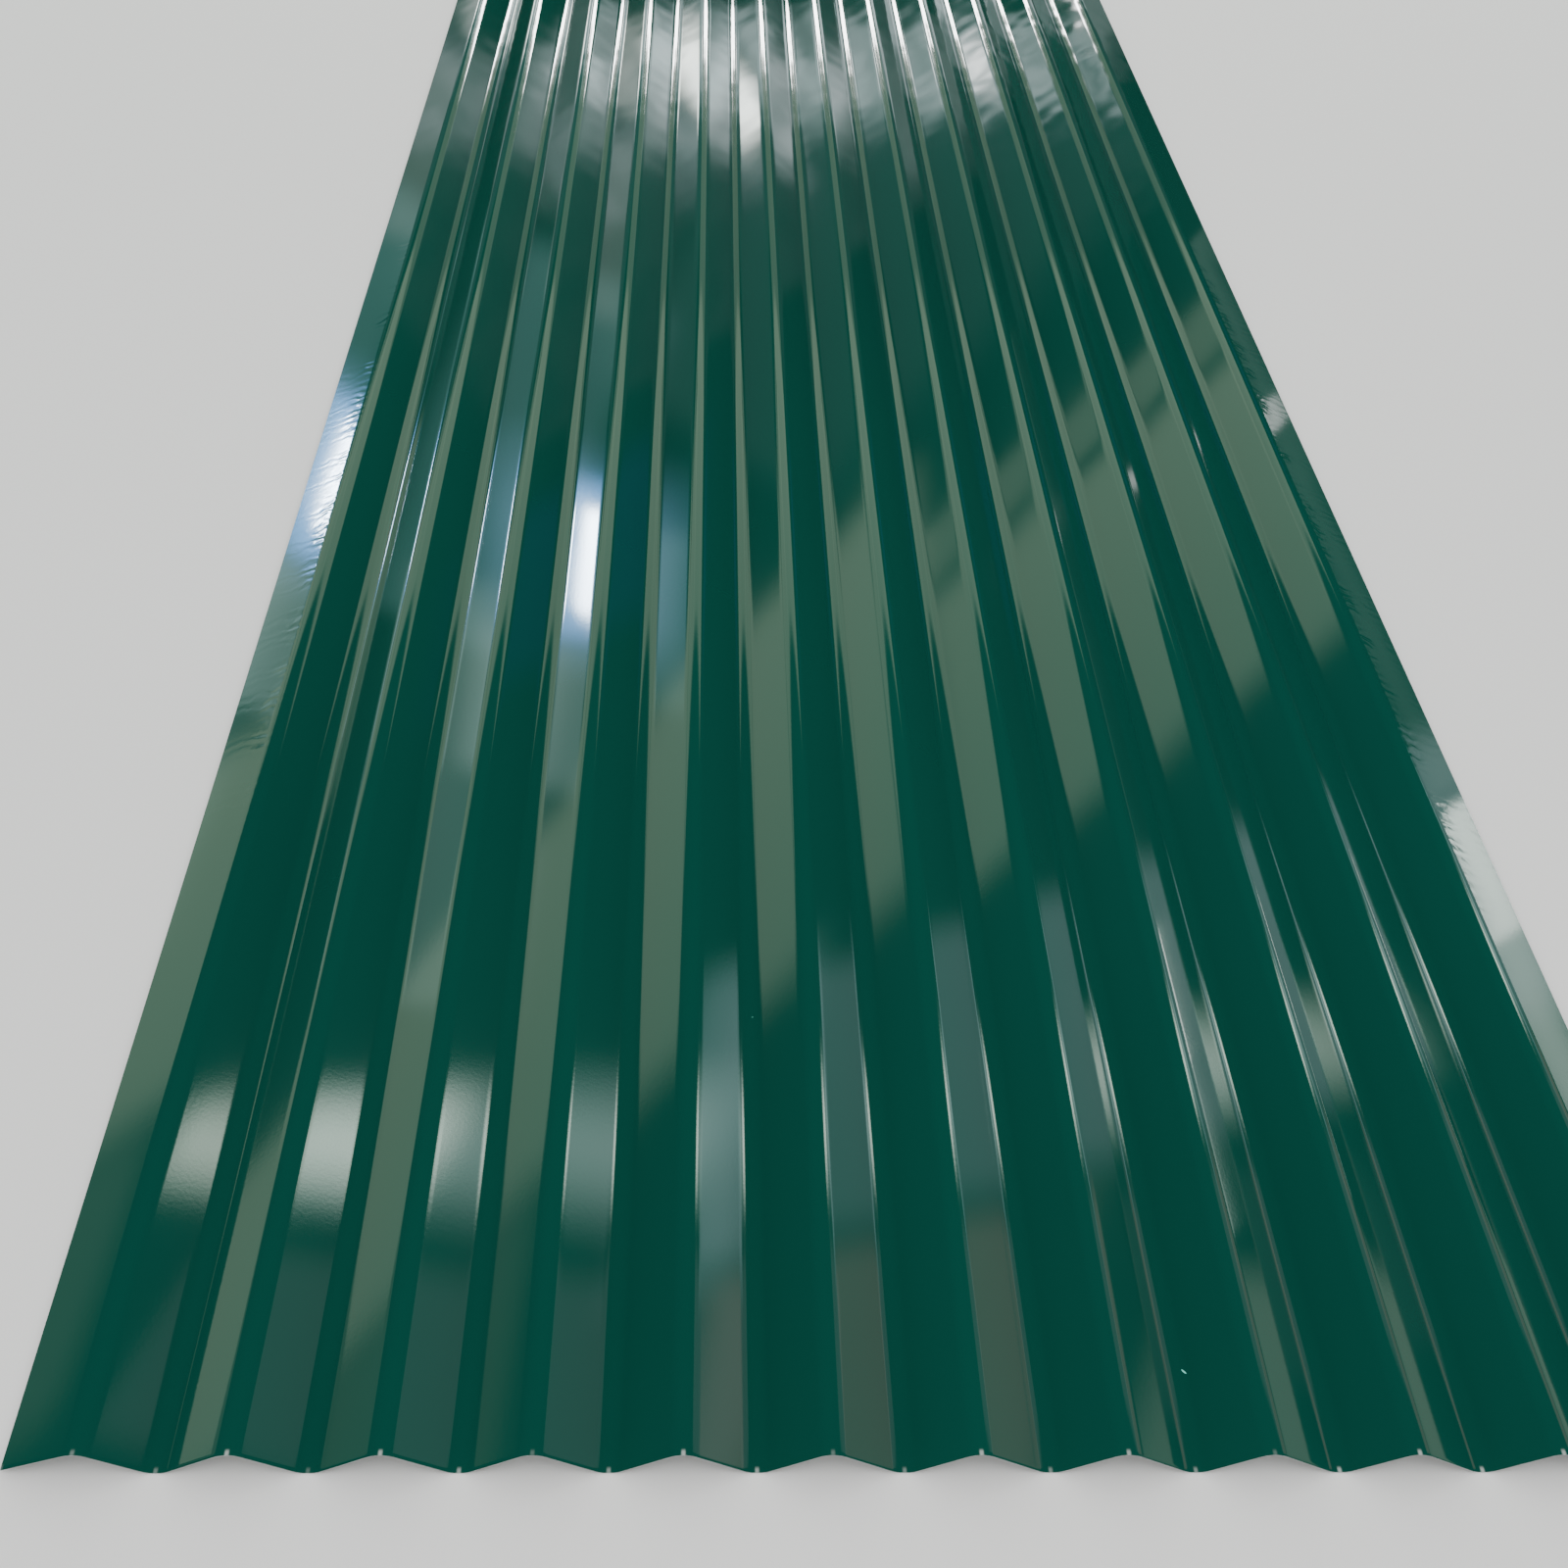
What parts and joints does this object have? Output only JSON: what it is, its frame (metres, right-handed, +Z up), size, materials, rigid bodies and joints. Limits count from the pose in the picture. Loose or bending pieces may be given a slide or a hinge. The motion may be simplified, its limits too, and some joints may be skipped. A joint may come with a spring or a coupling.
{
  "type": "corrugated metal sheet",
  "caption": "Corrugated steel roofing sheet, painted glossy dark green, with round crests and troughs joined by flat flanks and a flatter strip along each free edge.",
  "frame": {"origin": "middle of the sheet, on the floor that its troughs lie on", "axes": "+X across the corrugations, +Y along them, +Z up out of the painted top face"},
  "size_m": [0.9122, 2.44, 0.018],
  "materials": {
    "painted_steel": "glossy dark green paint over galvanised steel"
  },
  "bodies": {
    "root": {"corrugated_sheet": "painted_steel"}
  },
  "joints": []
}
